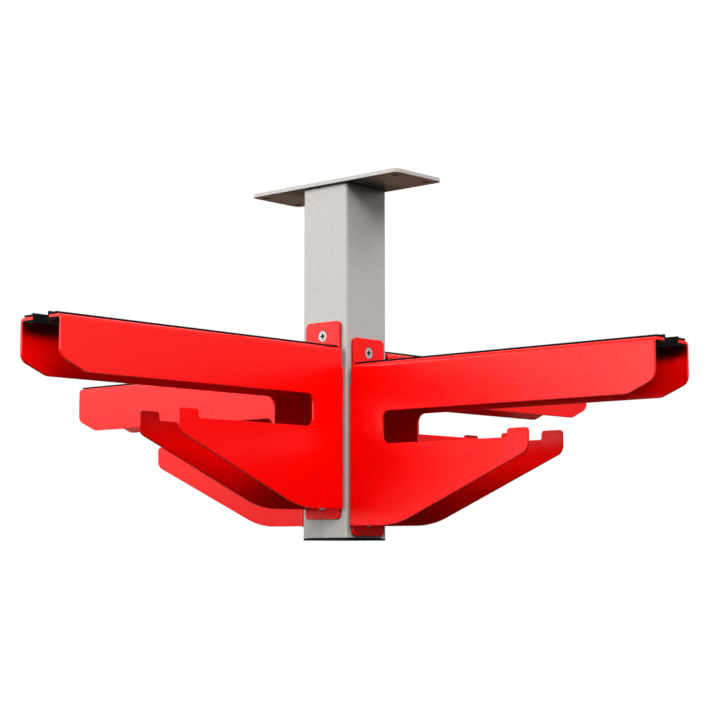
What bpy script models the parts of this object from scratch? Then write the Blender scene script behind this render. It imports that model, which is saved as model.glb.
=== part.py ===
"""Ceiling ski rack.

A square steel post hangs from a ceiling plate and closes below with a plastic cap. Four folded
sheet-steel brackets, one on each face, carry the skis by their tips in a rubber-edged slot and the
pole straps on hooks below. Each bracket is held by two countersunk screws in rivet nuts.

Metres, +Z up. The origin is the centre of the plate's top face, which lies on the ceiling.
"""
import math

import bmesh
import bpy
from mathutils import Matrix, Vector

# Fits
seat_gap = 0.0003                 # between pieces that lie on each other

# Ceiling plate
plate_length = 0.202
plate_width = 0.071
plate_thickness = 0.004
plate_corner_radius = 0.006
plate_hole_diameter = 0.007
plate_hole_inset = 0.0115         # hole centre to both edges

# Post
overall_height = 0.3640           # ceiling to the bottom of the end cap
post_side = 0.060
post_wall = 0.002
post_corner_radius = 0.0025
weld_leg = 0.0015

# End cap
cap_flange = 0.0024
cap_wall = 0.0018
cap_fin_thickness = 0.0010
cap_fin_reach = 0.0012
cap_fins = 2
cap_nut_clearance = 0.0018        # top of the cap's insert to the lowest rivet nut

# Folded sheet of the brackets
sheet = 0.003
bend_inner_radius = 0.002
bracket_inset = 0.00175           # post's corner to the outside of a cheek
ski_slot = 0.0225                 # between the lips' edges

# Bracket seen from the side. Reaches are from the post's face, depths from the arm's top
arm_reach = 0.359
arm_depth = 0.0490
tip_depth = 0.0373
tip_chamfer = 0.0284
window_end = 0.0454
window_height = 0.0322
hook_reach = 0.2220
hook_width = 0.0237
hook_rise = 0.0084
hook_back = 0.0128
cheek_depth = 0.1608
foot_length = 0.0628
relief_height = 0.0202
tip_upper_radius = 0.010
tip_lower_radius = 0.015
window_radius = 0.0085
hook_corner_radius = 0.0035
hook_root_radius = 0.0015
hook_back_radius = 0.010
foot_radius = 0.100

# Screw tabs above and below the cheeks
tab_above = 0.0276
tab_below = 0.0101
tab_corner_radius = 0.0055
screw_edge_distance = 0.0144
low_tab_clearance = 0.0020        # lowest tab to the end cap's flange
arm_stagger = 0.0167              # front and back arms above the side arms

# Rubber edge trim on the lips
trim_web = 0.0012
trim_top_leg = 0.0017
trim_low_leg = 0.0024
trim_low_leg_end = 0.0010         # lower leg thins out to this
trim_bead_height = 0.0010
trim_bead_width = 0.0023
trim_edge_radius = 0.0005

# Countersunk screws
screw_diameter = 0.006
screw_length = 0.016
screw_head_diameter = 0.0113
screw_head_land = 0.00035
screw_sink = 0.0001               # head below the tab's face
screw_tip_chamfer = 0.0007
recess_width = 0.0011
recess_span = 0.0058
recess_depth = 0.0019

# Rivet nuts in the post's wall
nut_body_diameter = 0.009
nut_head_diameter = 0.0106
nut_head_thickness = 0.0008
nut_bulge_diameter = 0.0118
nut_bulge_length = 0.0030
nut_length = 0.0128

# Faceting
bend_steps = 5
arc_tolerance = 0.00005           # a rounded corner's facets to its true arc
round_steps = 16

# Worked out from the above
post_half = post_side / 2
post_top = -plate_thickness - seat_gap
post_bottom = -overall_height + cap_flange + seat_gap
bracket_half = post_half - bracket_inset
bend_radius = bend_inner_radius + sheet
bend_line = seat_gap + bend_radius
tab_half = bracket_half - bend_radius
lip_edge = ski_slot / 2
window_bottom = arm_depth + window_height
hook_top = window_bottom - hook_rise
hook_back_depth = window_bottom + hook_back
tab_bottom = cheek_depth + tab_below
upper_screw = tab_above - screw_edge_distance
lower_screw = -tab_bottom + screw_edge_distance
tab_face = seat_gap + sheet
side_arm_top = post_bottom - seat_gap + low_tab_clearance + tab_bottom
front_arm_top = side_arm_top + arm_stagger
screw_radius = screw_diameter / 2
screw_head_radius = screw_head_diameter / 2
screw_hole_radius = screw_radius + seat_gap
nut_bulge_start = post_wall + seat_gap
lowest_nut = side_arm_top + lower_screw - nut_bulge_diameter / 2
cap_insert_top = lowest_nut - cap_nut_clearance

# Arms: name, turn about the post, height of the arm's top
arms = (
    ("front", -math.pi / 2, front_arm_top),
    ("right", 0.0, side_arm_top),
    ("back", math.pi / 2, front_arm_top),
    ("left", math.pi, side_arm_top),
)
screw_rows = (("upper", upper_screw), ("lower", lower_screw))

# A flat outline is drawn in XY. These matrices stand it up
side_view = Matrix(((1, 0, 0, 0), (0, 0, -1, 0), (0, 1, 0, 0), (0, 0, 0, 1)))
end_view = Matrix(((0, 0, 1, 0), (1, 0, 0, 0), (0, 1, 0, 0), (0, 0, 0, 1)))


def clear_scene():
    """Removes what the scene holds."""
    for item in list(bpy.data.objects):
        bpy.data.objects.remove(item, do_unlink=True)


def add_collection(name):
    """A new collection in the scene."""
    group = bpy.data.collections.new(name)
    bpy.context.scene.collection.children.link(group)
    return group


def linear(value):
    """An 8-bit screen value as a linear one."""
    share = value / 255
    return share / 12.92 if share <= 0.04045 else ((share + 0.055) / 1.055) ** 2.4


def finish_material(name, screen_colour, roughness, metallic=0.0):
    """A Principled material from a screen colour."""
    material = bpy.data.materials.new(name)
    material.use_nodes = True
    shader = material.node_tree.nodes["Principled BSDF"]
    shader.inputs["Base Color"].default_value = (*(linear(v) for v in screen_colour), 1.0)
    shader.inputs["Roughness"].default_value = roughness
    shader.inputs["Metallic"].default_value = metallic
    return material


def rounded(corners):
    """An outline from corners (x, y, radius), each round one an arc that its edges have room for."""
    points = []
    count = len(corners)
    for index, (x, y, radius) in enumerate(corners):
        corner = Vector((x, y))
        before = Vector(corners[index - 1][:2]) - corner
        after = Vector(corners[(index + 1) % count][:2]) - corner
        half = before.angle(after) / 2
        radius = min(radius, 0.49 * min(before.length, after.length) * math.tan(half))
        if radius <= 0:
            points.append(corner)
            continue
        centre = corner + (before.normalized() + after.normalized()).normalized() * radius / math.sin(half)
        start = corner + before.normalized() * radius / math.tan(half) - centre
        end = corner + after.normalized() * radius / math.tan(half) - centre
        turn = start.angle_signed(end)
        step = 2 * math.acos(1 - min(1, arc_tolerance / radius))
        pieces = max(2, math.ceil(abs(turn) / step - 1e-6))
        for piece in range(pieces + 1):
            points.append(centre + Matrix.Rotation(-turn * piece / pieces, 2) @ start)
    return points


def rectangle(half_x, half_y, radius):
    """A rounded rectangle about the origin."""
    signs = ((1, 1), (-1, 1), (-1, -1), (1, -1))
    return rounded([(half_x * sx, half_y * sy, radius) for sx, sy in signs])


def circle(x, y, radius):
    """A round outline."""
    turns = [2 * math.pi * k / round_steps for k in range(round_steps)]
    return [Vector((x + radius * math.cos(a), y + radius * math.sin(a))) for a in turns]


def evaluated_mesh(item):
    """The object's mesh after its modifiers, with the object removed."""
    graph = bpy.context.evaluated_depsgraph_get()
    graph.update()
    mesh = bpy.data.meshes.new_from_object(item.evaluated_get(graph))
    mesh.transform(item.matrix_world)
    bpy.data.objects.remove(item, do_unlink=True)
    return mesh


def weld(mesh, distance=1e-6):
    """Merges the mesh's doubles and turns its faces outwards."""
    body = bmesh.new()
    body.from_mesh(mesh)
    bmesh.ops.remove_doubles(body, verts=body.verts, dist=distance)
    bmesh.ops.recalc_face_normals(body, faces=body.faces)
    body.to_mesh(mesh)
    body.free()
    return mesh


def flat(name, outlines, thickness, view=None, shift=(0, 0, 0)):
    """A plate from flat outlines, the first its edge and the others its holes."""
    curve = bpy.data.curves.new(name, "CURVE")
    curve.dimensions = "2D"
    curve.fill_mode = "BOTH"
    curve.extrude = thickness / 2
    for outline in outlines:
        spline = curve.splines.new("POLY")
        spline.points.add(len(outline) - 1)
        spline.use_cyclic_u = True
        for point, (x, y) in zip(spline.points, outline):
            point.co = (x, y, 0, 1)
    item = bpy.data.objects.new(name, curve)
    bpy.context.scene.collection.objects.link(item)
    mesh = weld(evaluated_mesh(item))
    if view:
        mesh.transform(view)
    mesh.transform(Matrix.Translation(shift))
    return mesh


def turned(name, profile, ring=False):
    """A profile of (radius, height) points, run down its outer side, turned about Z."""
    mesh = bpy.data.meshes.new(name)
    edges = [(k, k + 1) for k in range(len(profile) - 1)]
    if ring:
        edges.append((len(profile) - 1, 0))
    mesh.from_pydata([(radius, 0, height) for radius, height in profile], edges, [])
    item = bpy.data.objects.new(name, mesh)
    bpy.context.scene.collection.objects.link(item)
    screw = item.modifiers.new("turn", "SCREW")
    screw.steps = round_steps
    screw.render_steps = round_steps
    screw.use_merge_vertices = True
    screw.merge_threshold = 1e-6
    return weld(evaluated_mesh(item))


def box(name, size, centre):
    """A block."""
    body = bmesh.new()
    bmesh.ops.create_cube(body, size=1.0)
    bmesh.ops.scale(body, vec=size, verts=body.verts)
    bmesh.ops.translate(body, vec=centre, verts=body.verts)
    mesh = bpy.data.meshes.new(name)
    body.to_mesh(mesh)
    body.free()
    return mesh


def gathered(name, mesh, places):
    """One mesh with a separate body at each place."""
    body = bmesh.new()
    for place in places:
        copy = mesh.copy()
        copy.transform(place)
        body.from_mesh(copy)
        bpy.data.meshes.remove(copy)
    result = bpy.data.meshes.new(name)
    body.to_mesh(result)
    body.free()
    return result


def add_cutter(name, mesh):
    """A cutter, which the finished object leaves out."""
    item = bpy.data.objects.new(name, mesh)
    item.hide_render = True
    item.display_type = "WIRE"
    cutters.objects.link(item)
    return item


def combined(name, mesh, others, operation):
    """The mesh after a Boolean with each of the others."""
    item = bpy.data.objects.new(name, mesh)
    bpy.context.scene.collection.objects.link(item)
    for index, other in enumerate(others):
        cut = item.modifiers.new(f"{operation.lower()}_{index}", "BOOLEAN")
        cut.operation = operation
        cut.object = add_cutter(f"{name}_{operation.lower()}_{index}", other)
    return weld(evaluated_mesh(item))


def add_piece(name, mesh, material, place=None):
    """A finished sub-part, round surfaces smooth."""
    mesh.shade_smooth()
    mesh.set_sharp_from_angle(angle=math.radians(32))
    if not mesh.materials:
        mesh.materials.append(material)
    item = bpy.data.objects.new(name, mesh)
    if place:
        item.matrix_world = place
    rack.objects.link(item)
    return item


def face_place(turn, height):
    """From a bracket's own frame, X outwards from the post's axis, to its face of the post."""
    return Matrix.Rotation(turn, 4, "Z") @ Matrix.Translation((0, 0, height))


def fastener_place(reach, height):
    """Turns a fastener's +Z outwards along X, at a reach from the post's axis."""
    return Matrix.Translation((reach, 0, height)) @ Matrix.Rotation(math.pi / 2, 4, "Y")


def make_ceiling_plate():
    """Rectangular plate with a hole near each corner."""
    half_x = plate_length / 2
    half_y = plate_width / 2
    hole_x = half_x - plate_hole_inset
    hole_y = half_y - plate_hole_inset
    radius = plate_hole_diameter / 2
    holes = [circle(sx * hole_x, sy * hole_y, radius) for sx in (1, -1) for sy in (1, -1)]
    outlines = [rectangle(half_x, half_y, plate_corner_radius), *holes]
    mesh = flat("ceiling_plate", outlines, plate_thickness, shift=(0, 0, -plate_thickness / 2))
    add_piece("ceiling_plate", mesh, post_paint)


def make_post():
    """Square tube with a stepped hole for each rivet nut."""
    length = post_top - post_bottom
    outer = rectangle(post_half, post_half, post_corner_radius)
    inner_half = post_half - post_wall
    inner = rectangle(inner_half, inner_half, max(post_corner_radius - post_wall, post_wall / 4))
    tube = flat("post", [outer, inner], length, shift=(0, 0, (post_top + post_bottom) / 2))
    head_radius = nut_head_diameter / 2 + seat_gap
    head_depth = nut_head_thickness + seat_gap
    body_radius = nut_body_diameter / 2 + seat_gap
    reach = post_wall * 2
    profile = [(0, reach), (head_radius, reach), (head_radius, -head_depth), (body_radius, -head_depth),
               (body_radius, -reach), (0, -reach)]
    hole = turned("nut_hole", profile)
    places = []
    for _, turn, height in arms:
        for _, row in screw_rows:
            places.append(face_place(turn, height) @ fastener_place(post_half, row))
    holes = gathered("nut_holes", hole, places)
    add_piece("post_tube", combined("post_tube", tube, [holes], "DIFFERENCE"), post_paint)


def make_weld():
    """Fillet weld round the post's head, under the plate."""
    core = post_half - post_corner_radius
    body = bmesh.new()
    rows = []
    for corner in rectangle(post_half, post_half, post_corner_radius):
        foot = Vector([max(-core, min(core, value)) for value in corner])
        outwards = (corner - foot).normalized()
        near = corner + outwards * seat_gap
        far = near + outwards * weld_leg
        section = ((*near, post_top), (*far, post_top), (*near, post_top - weld_leg))
        rows.append([body.verts.new(point) for point in section])
    for index, row in enumerate(rows):
        before = rows[index - 1]
        for k in range(len(row)):
            body.faces.new((before[k - 1], before[k], row[k], row[k - 1]))
    mesh = bpy.data.meshes.new("weld")
    body.to_mesh(mesh)
    body.free()
    add_piece("post_weld", weld(mesh), post_paint)


def square_ring(name, half, thickness, height):
    """A square ring round the end cap's hollow, at a height."""
    hollow = post_half - post_wall - seat_gap - cap_fin_reach - cap_wall
    outlines = [rectangle(half, half, 0), rectangle(hollow, hollow, 0)]
    return flat(name, outlines, thickness, shift=(0, 0, height))


def make_end_cap():
    """Plastic cap: a flange flush with the post and an insert with fins inside it."""
    bottom = -overall_height
    flange_outline = rectangle(post_half, post_half, post_corner_radius)
    flange = flat("flange", [flange_outline], cap_flange, shift=(0, 0, bottom + cap_flange / 2))
    fin_half = post_half - post_wall - seat_gap
    root = bottom + cap_flange / 2
    height = cap_insert_top - root
    pieces = [square_ring("insert", fin_half - cap_fin_reach, height, root + height / 2)]
    pitch = (cap_insert_top - post_bottom) / (cap_fins + 1)
    for fin in range(cap_fins):
        pieces.append(square_ring("fin", fin_half, cap_fin_thickness, post_bottom + pitch * (fin + 1)))
    add_piece("end_cap", combined("end_cap", flange, pieces, "UNION"), cap_plastic)


def cheek_outline():
    """A cheek's flat from the side: reach from the post's face, and height from the arm's top."""
    return rounded([
        (bend_line, -cheek_depth, 0),
        (foot_length, -cheek_depth, foot_radius),
        (hook_reach, -hook_back_depth, hook_back_radius),
        (hook_reach, -hook_top, hook_corner_radius),
        (hook_reach - hook_width, -hook_top, hook_corner_radius),
        (hook_reach - hook_width, -window_bottom, hook_root_radius),
        (window_end, -window_bottom, window_radius),
        (window_end, -arm_depth, window_radius),
        (arm_reach - tip_chamfer, -arm_depth, tip_lower_radius),
        (arm_reach, -tip_depth, tip_upper_radius),
        (arm_reach, -bend_radius, 0),
        (bend_line, -bend_radius, 0),
        (bend_line, -relief_height, 0),
    ])


def edges_on(body, test):
    """The edges whose two ends pass a test."""
    return [edge for edge in body.edges if edge.is_boundary and all(test(v.co) for v in edge.verts)]


def swept(body, edges, axis, centre, angle):
    """Bends a strip on from the edges, and returns its far edge."""
    turn = bmesh.ops.spin(body, geom=edges, axis=axis, cent=centre, angle=angle, steps=bend_steps)
    return [part for part in turn["geom_last"] if isinstance(part, bmesh.types.BMEdge)]


def folded_half():
    """The outside surface of one half of a bracket: back plate, bend, cheek, bend and lip."""
    cheek = flat("cheek", [cheek_outline()], 0, side_view, (post_half, bracket_half, 0))
    back = flat("back", [rounded([
        (0, -tab_bottom, 0),
        (tab_half, -tab_bottom, tab_corner_radius),
        (tab_half, -cheek_depth, 0),
        (tab_half, -relief_height, 0),
        (tab_half, tab_above, tab_corner_radius),
        (0, tab_above, 0),
    ])], 0, end_view, (post_half + seat_gap, 0, 0))
    body = bmesh.new()
    body.from_mesh(cheek)
    close = 1e-5
    rear = post_half + bend_line
    top_edges = edges_on(body, lambda co: abs(co.z + bend_radius) < close)
    rear_edges = edges_on(body, lambda co: abs(co.x - rear) < close and co.z < -relief_height + close)
    centre = Vector((rear, bracket_half - bend_radius, -bend_radius))
    swept(body, rear_edges, (0, 0, 1), centre, math.pi / 2)
    lip = swept(body, top_edges, (1, 0, 0), centre, math.pi / 2)
    grown = bmesh.ops.extrude_edge_only(body, edges=lip)
    lip_verts = [part for part in grown["geom"] if isinstance(part, bmesh.types.BMVert)]
    bmesh.ops.translate(body, vec=(0, lip_edge - tab_half, 0), verts=lip_verts)
    body.from_mesh(back)
    bmesh.ops.remove_doubles(body, verts=body.verts, dist=close)
    bmesh.ops.recalc_face_normals(body, faces=body.faces)
    outside = max(body.faces, key=lambda face: face.calc_center_median().y)
    if outside.normal.y < 0:
        bmesh.ops.reverse_faces(body, faces=body.faces)
    mesh = bpy.data.meshes.new("folded_half")
    body.to_mesh(mesh)
    body.free()
    return mesh


def bracket_mesh():
    """A bracket in its own frame, mirrored, given its thickness and countersunk."""
    item = bpy.data.objects.new("folded_sheet", folded_half())
    bpy.context.scene.collection.objects.link(item)
    mirror = item.modifiers.new("mirror", "MIRROR")
    mirror.use_axis = (False, True, False)
    mirror.merge_threshold = 1e-5
    wall = item.modifiers.new("thickness", "SOLIDIFY")
    wall.thickness = sheet
    wall.offset = -1
    wall.use_even_offset = True
    folded = weld(evaluated_mesh(item))
    cone = screw_head_radius + screw_sink + screw_head_land + seat_gap * math.sqrt(2)
    land = screw_head_radius + seat_gap
    profile = [(0, sheet), (land, sheet), (land, land - cone), (screw_hole_radius, screw_hole_radius - cone),
               (screw_hole_radius, -2 * sheet), (0, -2 * sheet)]
    hole = turned("countersink", profile)
    places = [fastener_place(post_half + tab_face, row) for _, row in screw_rows]
    return combined("bracket", folded, [gathered("countersinks", hole, places)], "DIFFERENCE")


def trim_mesh(side):
    """Rubber channel pushed over a lip's edge, on one side of the slot."""
    web_outside = lip_edge - seat_gap
    web_inside = web_outside - trim_web
    bead = web_inside + trim_bead_width
    leg_end = tab_half - seat_gap
    low = -sheet - seat_gap
    leg_top = seat_gap + trim_top_leg
    bead_top = leg_top + trim_bead_height
    corners = [
        (web_inside, low - trim_low_leg, trim_edge_radius),
        (bead, low - trim_low_leg, trim_edge_radius),
        (leg_end, low - trim_low_leg_end, trim_edge_radius),
        (leg_end, low, 0),
        (web_outside, low, 0),
        (web_outside, seat_gap, 0),
        (leg_end, seat_gap, 0),
        (leg_end, leg_top, trim_edge_radius),
        (bead, leg_top, trim_edge_radius),
        (bead, bead_top, trim_edge_radius),
        (web_inside, bead_top, trim_edge_radius),
    ]
    outline = [Vector((side * x, y)) for x, y in rounded(corners)]
    length = arm_reach - bend_line
    centre = post_half + (arm_reach + bend_line) / 2
    return flat("edge_trim", [outline], length, end_view, (centre, 0, 0))


def screw_mesh():
    """Countersunk screw with a cross recess, its head's face at height 0."""
    neck = screw_head_radius + screw_head_land - screw_radius
    tip = screw_radius - screw_tip_chamfer
    profile = [(0, 0), (screw_head_radius, 0), (screw_head_radius, -screw_head_land), (screw_radius, -neck),
               (screw_radius, -screw_length + screw_tip_chamfer), (tip, -screw_length), (0, -screw_length)]
    shank = turned("screw", profile)
    depth = (recess_width, recess_span, 2 * recess_depth)
    slots = [box("recess", depth, (0, 0, 0)), box("recess", (depth[1], depth[0], depth[2]), (0, 0, 0))]
    return combined("screw", shank, slots, "DIFFERENCE")


def nut_mesh():
    """Rivet nut, its head's face at height 0, set behind the wall with a bulge."""
    head = nut_head_diameter / 2
    outer = nut_body_diameter / 2
    bulge = nut_bulge_diameter / 2
    bulge_end = nut_bulge_start + nut_bulge_length
    profile = [
        (head, 0),
        (head, -nut_head_thickness),
        (outer, -nut_head_thickness),
        (outer, -nut_bulge_start),
        (bulge, -nut_bulge_start - nut_bulge_length / 4),
        (bulge, -nut_bulge_start - nut_bulge_length / 2),
        (outer, -bulge_end),
        (outer, -nut_length),
        (screw_hole_radius, -nut_length),
        (screw_hole_radius, 0),
    ]
    return turned("rivet_nut", profile, ring=True)


def make_arms():
    """Each face's bracket, two edge trims, two screws and two rivet nuts."""
    bracket = bracket_mesh()
    trims = (("a", trim_mesh(1)), ("b", trim_mesh(-1)))
    screw = screw_mesh()
    nut = nut_mesh()
    for name, turn, height in arms:
        place = face_place(turn, height)
        add_piece(f"bracket_{name}", bracket, red_paint, place)
        for letter, trim in trims:
            add_piece(f"edge_trim_{name}_{letter}", trim, rubber, place)
        for row, screw_height in screw_rows:
            head = place @ fastener_place(post_half + tab_face - screw_sink, screw_height)
            add_piece(f"screw_{name}_{row}", screw, zinc, head)
            mouth = place @ fastener_place(post_half, screw_height)
            add_piece(f"rivet_nut_{name}_{row}", nut, zinc, mouth)


clear_scene()
rack = add_collection("ceiling_ski_rack")
cutters = add_collection("cutters")
post_paint = finish_material("grey_paint", (205, 202, 196), 0.45)
red_paint = finish_material("red_powder_coat", (236, 24, 22), 0.35)
rubber = finish_material("black_rubber", (24, 24, 24), 0.7)
cap_plastic = finish_material("black_plastic", (14, 14, 14), 0.5)
zinc = finish_material("zinc_plated_steel", (196, 194, 190), 0.3, 1.0)
make_ceiling_plate()
make_post()
make_weld()
make_end_cap()
make_arms()
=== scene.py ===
import math
from functools import reduce

import bmesh
import bpy
from bpy.props import FloatProperty, FloatVectorProperty, IntProperty, PointerProperty
from mathutils import Matrix, Vector


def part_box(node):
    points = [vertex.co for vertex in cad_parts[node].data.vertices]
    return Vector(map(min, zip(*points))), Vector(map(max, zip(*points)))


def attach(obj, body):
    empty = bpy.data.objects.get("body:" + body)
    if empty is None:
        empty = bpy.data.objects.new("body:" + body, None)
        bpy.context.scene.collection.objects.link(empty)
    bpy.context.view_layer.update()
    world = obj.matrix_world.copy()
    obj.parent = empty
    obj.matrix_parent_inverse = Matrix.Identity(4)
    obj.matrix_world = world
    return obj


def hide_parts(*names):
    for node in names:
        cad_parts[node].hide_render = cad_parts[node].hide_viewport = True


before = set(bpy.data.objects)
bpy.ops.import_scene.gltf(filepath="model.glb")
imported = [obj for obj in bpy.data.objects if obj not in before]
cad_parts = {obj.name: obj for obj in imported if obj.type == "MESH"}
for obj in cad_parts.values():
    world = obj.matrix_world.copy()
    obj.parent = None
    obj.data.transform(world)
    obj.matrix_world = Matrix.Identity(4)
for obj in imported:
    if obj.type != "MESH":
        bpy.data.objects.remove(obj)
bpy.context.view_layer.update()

bl_info = {
    "name": "Ceiling ski rack",
    "version": (1, 0, 0),
    "blender": (4, 5, 0),
    "location": "3D View > Sidebar > Ski rack",
    "description": "Dresses the solids of a ceiling ski rack with finished pieces and sets its stage",
    "category": "Object",
}

# Read off the solids
plate_low, plate_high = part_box("ceiling_plate")
post_low, post_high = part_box("post_tube")
cap_low, cap_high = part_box("end_cap")
post_half = post_high.x

# Arms: name and turn about the post
arms = (
    ("front", -math.pi / 2),
    ("right", 0.0),
    ("back", math.pi / 2),
    ("left", math.pi),
)


def length(name, description, default):
    """A size in metres."""
    return FloatProperty(name=name, description=description, default=default, min=0.0,
                         unit="LENGTH", subtype="DISTANCE", precision=5)


def share(name, description, default):
    """A number from 0 to 1."""
    return FloatProperty(name=name, description=description, default=default, min=0.0, max=1.0,
                         subtype="FACTOR")


def colour(name, description, default):
    """A colour in linear light."""
    return FloatVectorProperty(name=name, description=description, default=default, size=3,
                               min=0.0, max=1.0, subtype="COLOR")


def angle(name, description, degrees):
    """An angle, written in degrees."""
    return FloatProperty(name=name, description=description, default=math.radians(degrees),
                         unit="ROTATION", subtype="ANGLE")


def count(name, description, default):
    """A whole number."""
    return IntProperty(name=name, description=description, default=default, min=1)


class SKIRACK_PG_plate(bpy.types.PropertyGroup):
    """Sizes of the ceiling plate."""
    corner_radius: length("Corner radius", "Rounding of the plate's four corners", 0.006)
    edge_radius: length("Edge radius", "Rounding of the plate's edges", 0.0004)
    hole_diameter: length("Hole diameter", "Screw holes to the ceiling", 0.007)
    hole_inset: length("Hole inset", "Hole centre to both edges", 0.0115)
    hole_chamfer: length("Hole chamfer", "Broken edge of each hole", 0.0003)


class SKIRACK_PG_post(bpy.types.PropertyGroup):
    """Sizes of the post and its weld."""
    wall: length("Wall", "Thickness of the tube's wall", 0.002)
    corner_radius: length("Corner radius", "Outside rounding of the tube", 0.0025)
    inner_radius: length("Inner radius", "Inside rounding of the tube", 0.0005)
    end_radius: length("End radius", "Broken edge of the tube's cut ends", 0.00025)
    weld_leg: length("Weld leg", "Leg of the fillet weld under the plate", 0.0011)
    # Painted shade over the weld, for the dark corner under the plate
    weld_shade: share("Weld shade", "How dark the paint is in the weld's corner", 0.85)
    weld_pitch: length("Weld pitch", "Length of one ripple of the weld", 0.0016)
    weld_ripple: share("Weld ripple", "Share of the leg by which the ripples swell", 0.14)
    weld_seed: count("Weld seed", "Picks the weld's uneven swelling", 7)


class SKIRACK_PG_cap(bpy.types.PropertyGroup):
    """Sizes of the end cap."""
    flange: length("Flange", "Height of the cap below the post", 0.0024)
    flange_rounding: length("Flange rounding", "Rounding of the flange's lower edge", 0.0004)
    insert_wall: length("Insert wall", "Wall of the insert", 0.0018)
    fin_thickness: length("Fin thickness", "Thickness of a fin at its root", 0.0010)
    fin_reach: length("Fin reach", "How far a fin stands out of the insert", 0.0012)
    fins: count("Fins", "Fins round the insert", 2)


class SKIRACK_PG_bracket(bpy.types.PropertyGroup):
    """Sizes of a folded bracket. Reaches start at the post's face, depths at the arm's top."""
    sheet: length("Sheet", "Thickness of the sheet", 0.003)
    bend_inner_radius: length("Bend radius", "Inside radius of the folds", 0.002)
    inset: length("Inset", "Post's corner to the outside of a cheek", 0.00175)
    ski_slot: length("Ski slot", "Between the edges of the two lips", 0.0225)
    edge_radius: length("Edge radius", "Rounding of the cut edges under the paint", 0.0004)
    arm_reach: length("Arm reach", "Post's face to the tip", 0.359)
    arm_depth: length("Arm depth", "Height of the arm's beam", 0.0490)
    tip_depth: length("Tip depth", "Height of the tip's upright edge", 0.0373)
    tip_chamfer: length("Tip chamfer", "Length of the slope under the tip", 0.0284)
    tip_upper_radius: length("Tip upper radius", "Corner between tip and slope", 0.010)
    tip_lower_radius: length("Tip lower radius", "Corner between slope and arm", 0.015)
    window_end: length("Window end", "Reach of the window's closed end", 0.0454)
    window_height: length("Window height", "Height of the window", 0.0322)
    window_radius: length("Window radius", "Corners of the window", 0.0085)
    hook_reach: length("Hook reach", "Post's face to the end of the hook", 0.2220)
    hook_width: length("Hook width", "Width of the hook's raised end", 0.0237)
    hook_rise: length("Hook rise", "How far the hook's end stands up", 0.0084)
    hook_back: length("Hook back", "Height of the hook's end below the rest", 0.0128)
    hook_corner_radius: length("Hook corner", "Upper corners of the hook", 0.0035)
    hook_root_radius: length("Hook root", "Corner where the hook rises", 0.0015)
    hook_back_radius: length("Hook heel", "Corner between hook and slope", 0.010)
    cheek_depth: length("Cheek depth", "Arm's top to the foot", 0.1608)
    foot_length: length("Foot length", "Level part of the foot", 0.0628)
    foot_radius: length("Foot radius", "Corner between foot and slope", 0.100)
    relief_height: length("Relief height", "Slot between the rear fold and the arm's top", 0.0202)
    tab_above: length("Upper tab", "How far the upper tab stands up", 0.0276)
    tab_below: length("Lower tab", "How far the lower tab hangs down", 0.0101)
    tab_corner_radius: length("Tab corner", "Corners of the tabs", 0.0055)
    screw_edge_distance: length("Screw place", "Screw's centre to the tab's end", 0.0144)
    # Painted shade on the tabs' cut edges
    tab_edge_shade: share("Tab edge shade", "How dark the thin coat is on the tabs' cut edges", 0.50)
    bend_steps: count("Bend steps", "Facets of a fold", 14)


class SKIRACK_PG_trim(bpy.types.PropertyGroup):
    """Sizes of the rubber edge trim."""
    web: length("Web", "Rubber over the lip's edge", 0.0012)
    top_leg: length("Top leg", "Rubber on the lip", 0.0017)
    low_leg: length("Lower leg", "Rubber under the lip", 0.0024)
    low_leg_end: length("Lower leg's end", "The lower leg thins out to this", 0.0010)
    bead_height: length("Bead height", "Raised bead beside the slot", 0.0010)
    bead_width: length("Bead width", "Width of the bead", 0.0023)
    edge_radius: length("Edge radius", "Rounding of the rubber's edges", 0.0005)


class SKIRACK_PG_fastener(bpy.types.PropertyGroup):
    """Sizes of the screws and rivet nuts."""
    screw_diameter: length("Screw", "Thread of the screws", 0.006)
    screw_length: length("Screw length", "Head's face to the tip", 0.016)
    head_diameter: length("Head", "Countersunk head", 0.0113)
    head_land: length("Head land", "Upright rim of the head", 0.00035)
    head_rounding: length("Head rounding", "Broken edge of the head's face", 0.0002)
    sink: length("Sink", "Head's face below the tab's face", 0.0001)
    thread_pitch: length("Thread pitch", "Rise of the thread in a turn", 0.001)
    thread_depth: length("Thread depth", "Crest to root of the thread", 0.0005)
    recess_span: length("Recess span", "Cross recess across its arms", 0.0060)
    recess_width: length("Recess width", "Arm of the cross recess", 0.0017)
    recess_depth: length("Recess depth", "Depth of the cross recess", 0.0021)
    nut_body: length("Nut body", "Body of a rivet nut", 0.009)
    nut_head: length("Nut head", "Head of a rivet nut", 0.0106)
    nut_head_height: length("Nut head height", "Height of that head", 0.0008)
    nut_bulge: length("Nut bulge", "Folded collar behind the wall", 0.0118)
    nut_bulge_length: length("Nut bulge length", "Length of that collar", 0.0030)
    nut_length: length("Nut length", "Length of a rivet nut", 0.0128)
    spin: angle("Spin", "Largest turn of a cross recess from upright", 5)
    seed: count("Seed", "Picks the turn of each screw", 3)


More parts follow.
